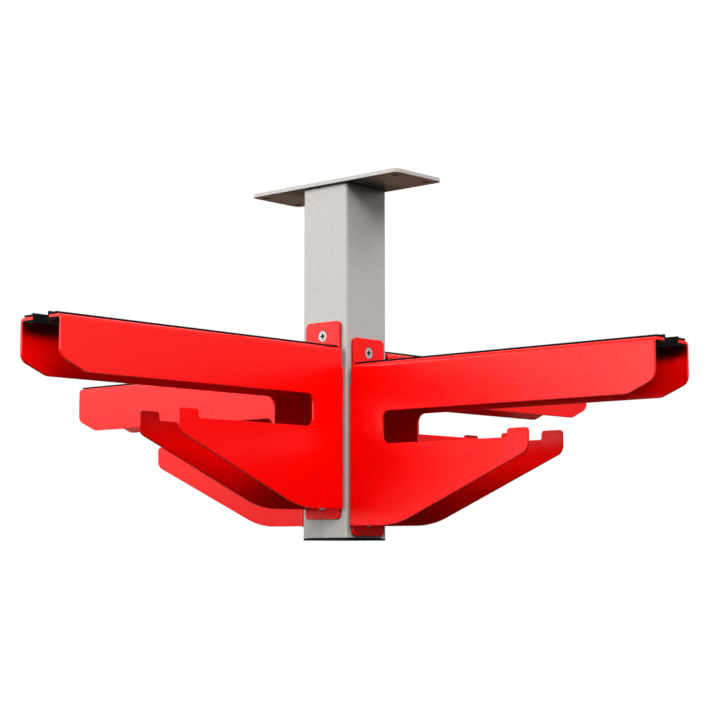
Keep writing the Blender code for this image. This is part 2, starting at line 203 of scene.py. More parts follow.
class SKIRACK_PG_finish(bpy.types.PropertyGroup):
    """Colours and surfaces."""
    red: colour("Bracket red", "Powder coat of the brackets", (0.94, 0.0006, 0.0005))
    red_deep: colour("Bracket red, deep", "The same coat where it lies thicker", (0.92, 0.0005, 0.0004))
    red_roughness: share("Bracket roughness", "Gloss of the red coat", 0.28)
    red_specular: share("Bracket reflection", "Strength of its reflection", 0.25)
    grey: colour("Post grey", "Paint of the post and plate", (0.427, 0.415, 0.393))
    grey_deep: colour("Post grey, deep", "The same paint where it lies thicker", (0.418, 0.406, 0.384))
    grey_roughness: share("Post roughness", "Gloss of the grey paint", 0.28)
    rubber: colour("Rubber", "Edge trims", (0.0030, 0.0030, 0.0032))
    rubber_dust: colour("Rubber, dusty", "The lighter bloom on the trims", (0.0062, 0.0061, 0.0060))
    rubber_roughness: share("Rubber roughness", "Gloss of the trims", 0.62)
    rubber_specular: share("Rubber reflection", "Strength of its reflection", 0.05)
    plastic: colour("Cap plastic", "End cap", (0.0040, 0.0039, 0.0038))
    plastic_worn: colour("Cap plastic, light", "The cap's lighter grain", (0.0066, 0.0064, 0.0062))
    plastic_roughness: share("Cap roughness", "Gloss of the end cap", 0.50)
    plastic_specular: share("Cap reflection", "Strength of its reflection", 0.08)
    zinc: colour("Zinc", "Screws and rivet nuts", (0.50, 0.495, 0.48))
    zinc_deep: colour("Zinc, dull", "Dull patches of the plating", (0.42, 0.42, 0.41))
    zinc_roughness: share("Zinc roughness", "Gloss of the plating", 0.50)
    zinc_metallic: share("Zinc metallic", "How far the plating shines as bare metal", 0.45)


class SKIRACK_PG_stage(bpy.types.PropertyGroup):
    """Floor, light and camera."""
    floor_height: FloatProperty(name="Floor height", description="Floor below the ceiling",
                                default=-3.4, unit="LENGTH", subtype="DISTANCE")
    floor_radius: length("Floor radius", "Where the floor has faded into the background", 8.0)
    floor_clear: length("Floor's full radius", "Where the floor starts to fade", 3.0)
    camera_distance: length("Camera distance", "From the post's axis, level", 1.8341)
    camera_azimuth: angle("Camera azimuth", "Round the post from the front arm to the right arm", 42.44)
    camera_yaw: angle("Camera yaw", "Turn of the camera off the post's axis", -0.49)
    camera_pitch: angle("Camera pitch", "Upward tilt of the camera", 6.03)
    camera_height: FloatProperty(name="Camera height", description="Camera below the ceiling",
                                 default=-0.3739, unit="LENGTH", subtype="DISTANCE")
    lens: FloatProperty(name="Lens", description="Focal length on a 36 mm sensor, in millimetres",
                        default=90.165, min=1.0)


class SKIRACK_PG_rack(bpy.types.PropertyGroup):
    """Everything that a user may change."""
    fit: length("Fit", "Gap between pieces that lie on each other", 0.0003)
    plate: PointerProperty(type=SKIRACK_PG_plate)
    post: PointerProperty(type=SKIRACK_PG_post)
    cap: PointerProperty(type=SKIRACK_PG_cap)
    bracket: PointerProperty(type=SKIRACK_PG_bracket)
    trim: PointerProperty(type=SKIRACK_PG_trim)
    fastener: PointerProperty(type=SKIRACK_PG_fastener)
    finish: PointerProperty(type=SKIRACK_PG_finish)
    stage: PointerProperty(type=SKIRACK_PG_stage)


# Outlines and meshes

arc_tolerance = 0.00001  # How far a chord may leave its arc
corner_steps = 8
lathe_steps = 48
smooth_angle = math.radians(34)
bevel_angle = math.radians(50)
merge_distance = 1e-7
close = 1e-5  # Ends of folds that are nearer than this are one
facing = 0.9  # A face looks along an axis where its normal has more than this of it
rows = ("upper", "lower")


def adjusted(item, **settings):
    """The item with its settings."""
    for key, value in settings.items():
        setattr(item, key, value)
    return item


def quarter_turns(steps):
    """Angles from level to upright."""
    return [math.pi / 2 * step / steps for step in range(steps + 1)]


def rounded(corners, edge_share=0.49, fewest=3):
    """An outline from corners (x, y, radius), each round one an arc that its edges have room for."""
    points = []
    for index, (x, y, radius) in enumerate(corners):
        corner = Vector((x, y))
        before = Vector(corners[index - 1][:2]) - corner
        after = Vector(corners[(index + 1) % len(corners)][:2]) - corner
        half = before.angle(after) / 2
        radius = min(radius, edge_share * min(before.length, after.length) * math.tan(half))
        if radius <= 0:
            points.append(corner)
            continue
        inwards = (before.normalized() + after.normalized()).normalized()
        centre = corner + inwards * radius / math.sin(half)
        start = corner + before.normalized() * radius / math.tan(half) - centre
        end = corner + after.normalized() * radius / math.tan(half) - centre
        turn = start.angle_signed(end)
        step = 2 * math.acos(1 - min(1, arc_tolerance / radius))
        pieces = max(fewest, math.ceil(abs(turn) / step - 1e-6))
        for piece in range(pieces + 1):
            points.append(centre + Matrix.Rotation(-turn * piece / pieces, 2) @ start)
    return points


def rounded_square(half_x, half_y, radius, height):
    """A level rounded rectangle about the axis, anticlockwise, of equal count for any size."""
    points = []
    for quarter, (sign_x, sign_y) in enumerate(((1, 1), (-1, 1), (-1, -1), (1, -1))):
        for step in range(corner_steps + 1):
            turn = math.pi / 2 * (quarter + step / corner_steps)
            x = sign_x * (half_x - radius) + radius * math.cos(turn)
            y = sign_y * (half_y - radius) + radius * math.sin(turn)
            points.append(Vector((x, y, height)))
    return points


def edge_profile(low, high, low_radius, high_radius, steps=4):
    """Insets and heights up a side whose two edges are rounded."""
    arc = [(1 - math.sin(turn), 1 - math.cos(turn)) for turn in quarter_turns(steps)]
    lower = [(low_radius * inset, low + low_radius * rise) for inset, rise in arc]
    upper = [(high_radius * inset, high - high_radius * rise) for inset, rise in reversed(arc)]
    return lower + upper


def rings_up(half_x, half_y, corner, sides, least=0.0):
    """Rounded rectangles up a block's sides, their corners no smaller than the least."""
    return [rounded_square(half_x - inset, half_y - inset, max(corner - inset, least), height)
            for inset, height in sides]


def tidy(body):
    """Merges doubles and turns the faces outwards."""
    bmesh.ops.remove_doubles(body, verts=body.verts, dist=merge_distance)
    bmesh.ops.recalc_face_normals(body, faces=body.faces)


def mesh_from(name, body):
    """The finished mesh of a bmesh."""
    mesh = bpy.data.meshes.new(name)
    body.to_mesh(mesh)
    body.free()
    return mesh


def stacked(name, rings, closed=False):
    """A skin over rings of equal count, ended by flat faces or closed on itself."""
    body = bmesh.new()
    rings = [[body.verts.new(point) for point in ring] for ring in rings]
    pairs = list(zip(rings, rings[1:]))
    if closed:
        pairs.append((rings[-1], rings[0]))
    else:
        body.faces.new(list(reversed(rings[0])))
        body.faces.new(rings[-1])
    for lower, upper in pairs:
        for index in range(len(lower)):
            body.faces.new((lower[index - 1], lower[index], upper[index], upper[index - 1]))
    tidy(body)
    return mesh_from(name, body)


def turned(name, profile, closed=False):
    """A profile of (radius, height) turned about Z, from its lower or outer end."""
    turns = [2 * math.pi * step / lathe_steps for step in range(lathe_steps)]
    rings = [[Vector((radius * math.cos(a), radius * math.sin(a), height)) for a in turns]
             for radius, height in profile]
    return stacked(name, rings, closed)


def gathered(name, mesh, places):
    """One mesh with a copy at each place."""
    body = bmesh.new()
    for place in places:
        copy = mesh.copy()
        copy.transform(place)
        body.from_mesh(copy)
        bpy.data.meshes.remove(copy)
    return mesh_from(name, body)


def plain_mesh(item):
    """The object's mesh after its modifiers, with the object removed."""
    graph = bpy.context.evaluated_depsgraph_get()
    graph.update()
    mesh = bpy.data.meshes.new_from_object(item.evaluated_get(graph), preserve_all_data_layers=True,
                                           depsgraph=graph)
    bpy.data.objects.remove(item, do_unlink=True)
    return mesh


def linked(name, data):
    """A new object in the scene."""
    item = bpy.data.objects.new(name, data)
    bpy.context.scene.collection.objects.link(item)
    return item


def cut(name, mesh, cutter):
    """The mesh without what the cutter takes."""
    item = linked(name, mesh)
    tool = linked(name + "_cutter", cutter)
    adjusted(item.modifiers.new("cut", "BOOLEAN"), operation="DIFFERENCE", solver="EXACT", object=tool)
    result = plain_mesh(item)
    bpy.data.objects.remove(tool, do_unlink=True)
    body = bmesh.new()
    body.from_mesh(result)
    bmesh.ops.remove_doubles(body, verts=body.verts, dist=merge_distance)
    return mesh_from(name, body)


def outwards(mesh):
    """The mesh with merged doubles and its faces outwards."""
    body = bmesh.new()
    body.from_mesh(mesh)
    tidy(body)
    body.to_mesh(mesh)
    body.free()
    return mesh


def smoothed(mesh):
    """The mesh with smooth surfaces and sharp edges."""
    mesh.shade_smooth()
    mesh.set_sharp_from_angle(angle=smooth_angle)
    return mesh


def shaded(name, mesh):
    """Round surfaces smooth, flat ones flat up to their rounded edges."""
    item = linked(name, smoothed(mesh))
    adjusted(item.modifiers.new("normals", "WEIGHTED_NORMAL"), keep_sharp=True)
    return plain_mesh(item)


def marked(mesh, mark, value_of):
    """Gives each face a value for its finish.

    The marks are shade, painted shade that darkens the face, under on the plate's underside,
    inside on the inner side of a fold, and arm_top, the height of the arm's top. Under, inside
    and arm_top place the painted shade of the plate and the folds.
    """
    field = mesh.attributes.new(mark, "FLOAT", "FACE")
    for face, item in zip(mesh.polygons, field.data):
        item.value = float(value_of(face))
    return mesh


def place_piece(name, mesh, material, slot, *nodes):
    """A finished piece on the body, in place of its solids."""
    mesh.name = name
    mesh.materials.clear()
    mesh.materials.append(material)
    piece = linked(name, mesh)
    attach(piece, "root")
    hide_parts(*nodes)
    return piece


def arm_top(rack, name):
    """Height of an arm's top, read off its solid."""
    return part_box(f"bracket_{name}")[1].z - rack.bracket.tab_above


def arm_place(rack, name, turn):
    """From an arm's own frame, X outwards and 0 at its top, to the post."""
    return Matrix.Rotation(turn, 4, "Z") @ Matrix.Translation((0, 0, arm_top(rack, name)))


def fastener_place(reach, height):
    """Turns a fastener's +Z outwards along X."""
    return Matrix.Translation((reach, 0, height)) @ Matrix.Rotation(math.pi / 2, 4, "Y")


def screw_heights(bracket):
    """Heights of the upper and lower screw from the arm's top."""
    low = bracket.cheek_depth + bracket.tab_below
    return bracket.tab_above - bracket.screw_edge_distance, bracket.screw_edge_distance - low


# Node trees

def fill(tree, node, inputs):
    """Links each input to a socket, or sets it to a value."""
    for key, value in inputs.items():
        if isinstance(value, bpy.types.NodeSocket):
            tree.links.new(value, node.inputs[key])
        else:
            node.inputs[key].default_value = value
    return node


def add_node(tree, kind, inputs=None, **settings):
    """A node with its settings and inputs, laid out in the order of making."""
    row, column = divmod(len(tree.nodes), 8)
    node = adjusted(tree.nodes.new(kind), location=(220 * column, -340 * row), **settings)
    return fill(tree, node, inputs or {})


def calc(tree, operation, *values):
    """The result of an operation on sockets or numbers."""
    node = add_node(tree, "ShaderNodeMath", dict(enumerate(values)), operation=operation)
    return node.outputs["Value"]


def joined(tree, operation, *values):
    """The values combined two by two."""
    return reduce(lambda first, second: calc(tree, operation, first, second), values)


def ramp(tree, value, start, end, amount=1.0, origin=0.0):
    """Rises smoothly from 0 at start to an amount at end, both counted from an origin."""
    node = add_node(tree, "ShaderNodeMapRange", {
        "Value": value, "From Min": origin + start, "From Max": origin + end, "To Max": amount,
    }, interpolation_type="SMOOTHSTEP")
    return node.outputs["Result"]


def mixed(tree, factor, first, second):
    """A colour between two, each a socket or a colour."""
    first, second = (value if isinstance(value, bpy.types.NodeSocket) else (*value, 1)
                     for value in (first, second))
    node = add_node(tree, "ShaderNodeMix", {"Factor": factor, "A": first, "B": second},
                    data_type="RGBA")
    return node.outputs["Result"]


def noise(tree, place, scale, detail):
    """Soft noise over a place."""
    node = add_node(tree, "ShaderNodeTexNoise", {"Vector": place, "Scale": scale, "Detail": detail})
    return node.outputs["Fac"]


def mark_of(tree, name):
    """The value that a face is marked with."""
    return add_node(tree, "ShaderNodeAttribute", attribute_name=name).outputs["Fac"]


def geometry_tree(name, **inputs):
    """A geometry tree with named inputs, and what its input node gives."""
    tree = bpy.data.node_groups.new(name, "GeometryNodeTree")
    tree.interface.new_socket("Geometry", in_out="OUTPUT", socket_type="NodeSocketGeometry")
    for label, kind in {"Geometry": "Geometry", **inputs}.items():
        tree.interface.new_socket(label, in_out="INPUT", socket_type="NodeSocket" + kind)
    return tree, add_node(tree, "NodeGroupInput").outputs


def end_tree(tree, geometry, finish):
    """Ends a tree in Realize Instances and Set Material."""
    real = add_node(tree, "GeometryNodeRealizeInstances", {"Geometry": geometry})
    paint = add_node(tree, "GeometryNodeSetMaterial", {
        "Geometry": real.outputs["Geometry"], "Material": finish})
    add_node(tree, "NodeGroupOutput", {"Geometry": paint.outputs["Geometry"]})
    return tree


def tree_result(name, mesh, tree, values):
    """The plain mesh that a tree makes from a mesh."""
    item = linked(name, mesh)
    modifier = adjusted(item.modifiers.new(tree.name, "NODES"), node_group=tree)
    for socket in tree.interface.items_tree:
        if socket.in_out == "INPUT" and socket.name in values:
            modifier[socket.identifier] = values[socket.name]
    return plain_mesh(item)


def fastener_tree():
    """Sets a fastener on each point, its axis along the point's outward direction."""
    tree, source = geometry_tree("Fasteners", Fastener="Object", Spin="Float", Seed="Int",
                                 Finish="Material")
    part = add_node(tree, "GeometryNodeObjectInfo", {"Object": source["Fastener"]})
    direction = add_node(tree, "GeometryNodeInputNamedAttribute", {"Name": "outwards"},
                         data_type="FLOAT_VECTOR")
    axis = add_node(tree, "FunctionNodeAlignRotationToVector", {
        "Vector": direction.outputs["Attribute"]}, axis="Z")
    # The inputs 2 and 3 are the least and the most of a random number, and output 1 is the number
    chance = add_node(tree, "FunctionNodeRandomValue", {
        2: calc(tree, "MULTIPLY", source["Spin"], -1.0), 3: source["Spin"],
        "Seed": source["Seed"]}, data_type="FLOAT")
    spin = add_node(tree, "FunctionNodeAxisAngleToRotation", {
        "Axis": (0, 0, 1), "Angle": chance.outputs[1]})
    turn = add_node(tree, "FunctionNodeRotateRotation", {
        "Rotation": axis.outputs["Rotation"], "Rotate By": spin.outputs["Rotation"],
    }, rotation_space="LOCAL")
    copies = add_node(tree, "GeometryNodeInstanceOnPoints", {
        "Points": source["Geometry"], "Instance": part.outputs["Geometry"],
        "Rotation": turn.outputs["Rotation"]})
    return end_tree(tree, copies.outputs["Instances"], source["Finish"])


def sweep_tree():
    """Sweeps a profile along the edges of a mesh, to the right of the way and down."""
    tree, source = geometry_tree("Edge trim", Profile="Object", Finish="Material")
    path = add_node(tree, "GeometryNodeMeshToCurve", {"Mesh": source["Geometry"]})
    profile = add_node(tree, "GeometryNodeObjectInfo", {"Object": source["Profile"]})
    sweep = add_node(tree, "GeometryNodeCurveToMesh", {
        "Curve": path.outputs["Curve"], "Profile Curve": profile.outputs["Geometry"],
        "Fill Caps": True})
    return end_tree(tree, sweep.outputs["Mesh"], source["Finish"])


def weld_tree(points_per_ripple=6.0, unevenness=90.0):
    """A rippled bead along the edges of a mesh."""
    tree, source = geometry_tree("Weld bead", Profile="Object", Pitch="Float", Ripple="Float",
                                 Seed="Float", Finish="Material")
    path = add_node(tree, "GeometryNodeMeshToCurve", {"Mesh": source["Geometry"]})
    points = add_node(tree, "GeometryNodeResampleCurve", {
        "Curve": path.outputs["Curve"],
        "Length": calc(tree, "DIVIDE", source["Pitch"], points_per_ripple)}, mode="LENGTH")
    way = add_node(tree, "GeometryNodeSplineParameter").outputs["Length"]
    uneven = add_node(tree, "ShaderNodeTexNoise", {"Scale": unevenness, "W": source["Seed"]},
                      noise_dimensions="4D")
    ripples = calc(tree, "ADD", calc(tree, "DIVIDE", way, source["Pitch"]), uneven.outputs["Fac"])
    wave = calc(tree, "SINE", calc(tree, "MULTIPLY", ripples, 2 * math.pi))
    swell = calc(tree, "MULTIPLY", wave, source["Ripple"])
    size = calc(tree, "SUBTRACT", calc(tree, "SUBTRACT", 1.0, source["Ripple"]), swell)
    profile = add_node(tree, "GeometryNodeObjectInfo", {"Object": source["Profile"]})
    sweep = add_node(tree, "GeometryNodeCurveToMesh", {
        "Curve": points.outputs["Curve"], "Profile Curve": profile.outputs["Geometry"],
        "Scale": size})
    return end_tree(tree, sweep.outputs["Mesh"], source["Finish"])


def profile_curve(name, points):
    """A closed flat curve for a sweep."""
    curve = bpy.data.curves.new(name, "CURVE")
    curve.dimensions = "3D"
    spline = curve.splines.new("POLY")
    spline.points.add(len(points) - 1)
    spline.use_cyclic_u = True
    for point, (x, y) in zip(spline.points, points):
        point.co = (x, y, 0, 1)
    return linked(name, curve)


# Finishes

# Painted shade in the folds and under the plate: where it starts, where it is full, and how far it
# darkens.
# Reaches start at the post's face, heights at the arm's top or at the foot.
shade_under_plate = (0.040, 0.008, 0.90)
shade_under_lip = (-0.019, -0.009, 0.88)
shade_near_post = (0.105, 0.035, 0.36)
shade_in_beam = (0.340, 0.150, 0.22)
beam_heights = (-0.080, -0.050)
below_top = (0.001, -0.003)
above_foot = (-0.001, 0.002)

# The colour that full painted shade leaves, as a share of the deep tone
painted_shade_tone = 0.04  # What a fully marked face keeps of its colour
gloss_patches = 2.7  # Patches of gloss to one of colour
gloss_noise = (0.3, 0.7)  # The noise that the spread of gloss is laid over
patch_detail, gloss_detail, grain_detail = 3.0, 4.0, 2.0


def reach_out(tree, place):
    """Height, and distance from the post's axis square to its faces."""
    apart = add_node(tree, "ShaderNodeSeparateXYZ", {"Vector": place}).outputs
    return apart["Z"], joined(tree, "MAXIMUM", *(calc(tree, "ABSOLUTE", apart[axis]) for axis in "XY"))


def painted_plate_shade(tree, place):
    """Painted shade on the plate's underside, close to the post."""
    _, out = reach_out(tree, place)
    return joined(tree, "MULTIPLY", ramp(tree, out, *shade_under_plate, origin=post_half),
                  mark_of(tree, "under"))


def painted_fold_shade(tree, place, foot):
    """Painted shade in the folds: under the lips, along the beam and close to the post."""
    level, out = reach_out(tree, place)
    height = calc(tree, "SUBTRACT", level, mark_of(tree, "arm_top"))
    in_beam = joined(tree, "MULTIPLY", ramp(tree, height, *beam_heights),
                     ramp(tree, out, *shade_in_beam, origin=post_half))
    painted_shade = joined(tree, "MAXIMUM", ramp(tree, height, *shade_under_lip),
                  ramp(tree, out, *shade_near_post, origin=post_half), in_beam)
    return joined(tree, "MULTIPLY", painted_shade, ramp(tree, height, *below_top),
                  ramp(tree, height, *above_foot, origin=-foot), mark_of(tree, "inside"))


def coat(name, pale, deep, roughness, spread, grain, height, patch, specular=0.5, metallic=0.0,
         painted_shade=None):
    """A finish with patches of two near colours, uneven gloss and a fine grain.

    It is darker where a face is marked with painted shade, and where painted shade lies in folds and
    corners.
    """
    material = bpy.data.materials.new(name)
    material.use_nodes = True
    tree = material.node_tree
    place = add_node(tree, "ShaderNodeTexCoord").outputs["Object"]
    tint = mixed(tree, noise(tree, place, 1 / patch, patch_detail), deep, pale)
    dark = mark_of(tree, "shade")
    if painted_shade:
        dark = calc(tree, "MAXIMUM", dark, painted_shade(tree, place))
    gloss = add_node(tree, "ShaderNodeMapRange", {
        "Value": noise(tree, place, gloss_patches / patch, gloss_detail),
        "From Min": gloss_noise[0], "From Max": gloss_noise[1],
        "To Min": roughness - spread, "To Max": roughness + spread})
    bump = add_node(tree, "ShaderNodeBump", {
        "Strength": 1.0, "Distance": height,
        "Height": noise(tree, place, 1 / grain, grain_detail)})
    fill(tree, tree.nodes["Principled BSDF"], {
        "Base Color": mixed(tree, dark, tint, [painted_shade_tone * part for part in deep]),
        "Metallic": metallic, "Roughness": gloss.outputs["Result"],
        "Specular IOR Level": specular, "Normal": bump.outputs["Normal"]})
    return material


def finish_of(rack, name):
    """A finish by name, made when it is first asked for."""
    known = bpy.data.materials.get(name)
    if known:
        return known
    f = rack.finish
    recipes = {
        "red_powder_coat": dict(
            pale=f.red, deep=f.red_deep, patch=0.05, roughness=f.red_roughness, spread=0.015,
            grain=0.0016, height=0.000002, specular=f.red_specular,
            painted_shade=lambda tree, place: painted_fold_shade(tree, place, rack.bracket.cheek_depth)),
        "grey_paint": dict(
            pale=f.grey, deep=f.grey_deep, patch=0.04, roughness=f.grey_roughness, spread=0.015,
            grain=0.0011, height=0.0000015, painted_shade=painted_plate_shade),
        "black_rubber": dict(
            pale=f.rubber_dust, deep=f.rubber, patch=0.012, roughness=f.rubber_roughness,
            spread=0.06, grain=0.0005, height=0.00002, specular=f.rubber_specular),
        "black_plastic": dict(
            pale=f.plastic_worn, deep=f.plastic, patch=0.01, roughness=f.plastic_roughness,
            spread=0.05, grain=0.0004, height=0.00001, specular=f.plastic_specular),
        "zinc_plating": dict(
            pale=f.zinc, deep=f.zinc_deep, patch=0.004, roughness=f.zinc_roughness, spread=0.06,
            grain=0.0006, height=0.000006, metallic=f.zinc_metallic),
    }
    return coat(name, **recipes[name])


# Pieces

def plate_mesh(rack):
    """Rectangular plate with rounded edges and a hole near each corner."""
    sizes = rack.plate
    half_x, half_y = plate_high.x, plate_high.y
    sides = edge_profile(plate_low.z, plate_high.z, sizes.edge_radius, sizes.edge_radius)
    rings = rings_up(half_x, half_y, sizes.corner_radius, sides)
    radius = sizes.hole_diameter / 2
    flare = sizes.hole_chamfer
    over = 0.001
    hole = turned("hole", [
        (radius + flare + over, plate_low.z - over),
        (radius, plate_low.z + flare),
        (radius, plate_high.z - flare),
        (radius + flare + over, plate_high.z + over),
    ])
    x, y = half_x - sizes.hole_inset, half_y - sizes.hole_inset
    places = [Matrix.Translation((sign_x * x, sign_y * y, 0))
              for sign_x in (1, -1) for sign_y in (1, -1)]
    drilled = cut("plate", stacked("plate", rings), gathered("holes", hole, places))
    edge = radius + flare * 2

    def in_hole(face):
        return any((face.center - place.translation).to_2d().length < edge for place in places)

    # Painted shade on the holes' walls; the underside is marked for the painted shade near the post
    marked(drilled, "under", lambda face: face.normal.z < -facing)
    return marked(drilled, "shade", in_hole)


def post_mesh(rack):
    """Square tube with a stepped hole for each rivet nut."""
    sizes = rack.post
    nut = rack.fastener
    sides = edge_profile(post_low.z, post_high.z, sizes.end_radius, sizes.end_radius, 3)
    rings = rings_up(post_half, post_half, sizes.corner_radius, sides)
    inner = post_half - sizes.wall
    for height in (post_high.z, post_low.z):
        rings.append(rounded_square(inner, inner, sizes.inner_radius, height))
    tube = stacked("tube", rings, closed=True)
    head = nut.nut_head / 2 + rack.fit
    body = nut.nut_body / 2 + rack.fit
    step = nut.nut_head_height + rack.fit
    reach = sizes.wall * 2
    hole = turned("nut_hole", [(body, -reach), (body, -step), (head, -step), (head, reach)])
    places = [arm_place(rack, name, turn) @ fastener_place(post_half, height)
              for name, turn in arms for height in screw_heights(rack.bracket)]
    return cut("tube", tube, gathered("nut_holes", hole, places))


def cap_mesh(rack):
    """Moulded cap: flange flush with the post, hollow insert with fins."""
    sizes = rack.cap
    top = cap_high.z
    seat = cap_low.z + sizes.flange
    corner = 0.0004
    seat_rounding = 0.00015
    lead_in = 0.0003
    sides = edge_profile(cap_low.z, seat, sizes.flange_rounding, seat_rounding, 5)
    rings = rings_up(post_half, post_half, rack.post.corner_radius, sides, corner)

    def ring(half, height):
        rings.append(rounded_square(half, half, corner, height))

    fin = post_half - rack.post.wall - rack.fit
    insert = fin - sizes.fin_reach
    pitch = (top - seat) / (sizes.fins + 1)
    root = sizes.fin_thickness / 2
    ring(insert, seat)
    for index in range(sizes.fins):
        middle = seat + pitch * (index + 1)
        for half, rise in ((insert, -root), (fin, -root / 2), (fin, root / 2), (insert, root)):
            ring(half, middle + rise)
    ring(insert, top - lead_in)
    ring(insert - lead_in, top)
    hollow = insert - sizes.insert_wall
    ring(hollow, top)
    ring(hollow, seat)
    return stacked("cap", rings)


def fold_lines(rack):
    """Outside radius of the folds, half the bracket's width, and where its cheeks turn flat."""
    s = rack.bracket
    bend = s.bend_inner_radius + s.sheet
    return bend, post_half - s.inset, post_half + (rack.fit + bend)


def cheek_outline(s, fit):
    """A cheek's flat from the side: reach from the post's face, height from the arm's top."""
    bend = s.bend_inner_radius + s.sheet
    line = fit + bend
    window_bottom = s.arm_depth + s.window_height
    hook_top = window_bottom - s.hook_rise
    return rounded([
        (line, -s.cheek_depth, 0),
        (s.foot_length, -s.cheek_depth, s.foot_radius),
        (s.hook_reach, -window_bottom - s.hook_back, s.hook_back_radius),
        (s.hook_reach, -hook_top, s.hook_corner_radius),
        (s.hook_reach - s.hook_width, -hook_top, s.hook_corner_radius),
        (s.hook_reach - s.hook_width, -window_bottom, s.hook_root_radius),
        (s.window_end, -window_bottom, s.window_radius),
        (s.window_end, -s.arm_depth, s.window_radius),
        (s.arm_reach - s.tip_chamfer, -s.arm_depth, s.tip_lower_radius),
        (s.arm_reach, -s.tip_depth, s.tip_upper_radius),
        (s.arm_reach, -bend, 0),
        (line, -bend, 0),
        (line, -s.relief_height, 0),
    ])


def folded_sheet(rack):
    """A bracket's sheet: outside surface of one half, mirrored, thickened, edges rounded."""
    s = rack.bracket
    bend, half, rear = fold_lines(rack)
    tab_half = half - bend
    tab_bottom = s.cheek_depth + s.tab_below
    body = bmesh.new()
    cheek = [Vector((post_half + x, half, y)) for x, y in cheek_outline(s, rack.fit)]
    body.faces.new([body.verts.new(point) for point in cheek])
    body.edges.ensure_lookup_table()

    def edges_on(test):
        return [e for e in body.edges if e.is_boundary and all(test(v.co) for v in e.verts)]

    def parts_of(result, kind):
        return [part for part in result if isinstance(part, kind)]

    top = edges_on(lambda co: abs(co.z + bend) < close)
    back = edges_on(lambda co: abs(co.x - rear) < close and co.z < close - s.relief_height)
    fold = {"cent": Vector((rear, half - bend, -bend)), "angle": math.pi / 2, "steps": s.bend_steps}
    bmesh.ops.spin(body, geom=back, axis=(0, 0, 1), **fold)
    lip = bmesh.ops.spin(body, geom=top, axis=(1, 0, 0), **fold)["geom_last"]
    grown = bmesh.ops.extrude_edge_only(body, edges=parts_of(lip, bmesh.types.BMEdge))["geom"]
    bmesh.ops.translate(body, vec=(0, s.ski_slot / 2 - tab_half, 0),
                        verts=parts_of(grown, bmesh.types.BMVert))
    web = rounded([
        (0, -tab_bottom, 0),
        (tab_half, -tab_bottom, s.tab_corner_radius),
        (tab_half, -s.cheek_depth, 0),
        (tab_half, -s.relief_height, 0),
        (tab_half, s.tab_above, s.tab_corner_radius),
        (0, s.tab_above, 0),
    ])
    body.faces.new([body.verts.new((post_half + rack.fit, x, y)) for x, y in web])
    bmesh.ops.remove_doubles(body, verts=body.verts, dist=close)
    bmesh.ops.recalc_face_normals(body, faces=body.faces)
    outside = max(body.faces, key=lambda face: face.calc_center_median().y)
    if outside.normal.y < 0:
        bmesh.ops.reverse_faces(body, faces=body.faces)
    item = linked("folded_sheet", mesh_from("folded_sheet", body))
    adjusted(item.modifiers.new("mirror", "MIRROR"), use_axis=(False, True, False),
             merge_threshold=close)
    adjusted(item.modifiers.new("thickness", "SOLIDIFY"), thickness=s.sheet, offset=-1,
             use_even_offset=True)
    adjusted(item.modifiers.new("edges", "BEVEL"), limit_method="ANGLE", angle_limit=bevel_angle,
             width=s.edge_radius, segments=3, use_clamp_overlap=False)
    return plain_mesh(item)


def bracket_mesh(rack):
    """A bracket in its own frame, with its countersinks and the marks for its coat's painted shade."""
    s = rack.bracket
    f = rack.fastener
    bend, half, rear = fold_lines(rack)
    tab_face = post_half + rack.fit + s.sheet
    head = f.head_diameter / 2
    shank = f.screw_diameter / 2 + rack.fit
    cone = head + f.sink + f.head_land + rack.fit * math.sqrt(2)
    land = head + rack.fit
    sink = turned("countersink", [
        (shank, -2 * s.sheet), (shank, shank - cone), (land, land - cone), (land, s.sheet)])
    places = [fastener_place(tab_face, height) for height in screw_heights(s)]
    drilled = cut("bracket", folded_sheet(rack), gathered("countersinks", sink, places))

    # Painted shade in the countersinks round the heads, and on the tabs' cut edges
    def shade_of(face):
        x, _, z = face.center
        if abs(face.normal.x) > facing:
            return 0.0
        if any((face.center - place.translation).yz.length < land + s.edge_radius for place in places):
            return 1.0
        on_tab = x < tab_face - s.edge_radius and (z > -s.relief_height or z < -s.cheek_depth)
        return s.tab_edge_shade if on_tab else 0.0

    # The inner faces of the folds, which take the painted fold shade
    def in_fold(face):
        x, y, z = face.center
        if face.normal.x > facing and abs(x - tab_face) < close:
            return True
        middle = Vector((max(x, rear), math.copysign(half - bend, y), min(z, -bend)))
        away = face.center - middle
        return away.length > close and face.normal.dot(away) < 0 and abs(y) < half - s.sheet / 2

    marked(drilled, "inside", in_fold)
    return marked(drilled, "shade", shade_of)


def trim_profile(rack, side):
    """The trim's section, seen along the way out from the post."""
    t = rack.trim
    s = rack.bracket
    outside = s.ski_slot / 2 - rack.fit
    inside = outside - t.web
    bead = inside + t.bead_width
    end = post_half - s.inset - s.bend_inner_radius - s.sheet - rack.fit
    low = -s.sheet - rack.fit
    top = rack.fit + t.top_leg
    r = t.edge_radius
    corners = [
        (inside, low - t.low_leg, r),
        (bead, low - t.low_leg, r),
        (end, low - t.low_leg_end, r),
        (end, low, 0),
        (outside, low, 0),
        (outside, rack.fit, 0),
        (end, rack.fit, 0),
        (end, top, r),
        (bead, top, r),
        (bead, top + t.bead_height, r),
        (inside, top + t.bead_height, r),
    ]
    return [(-side * y, -z) for y, z in rounded(corners)]


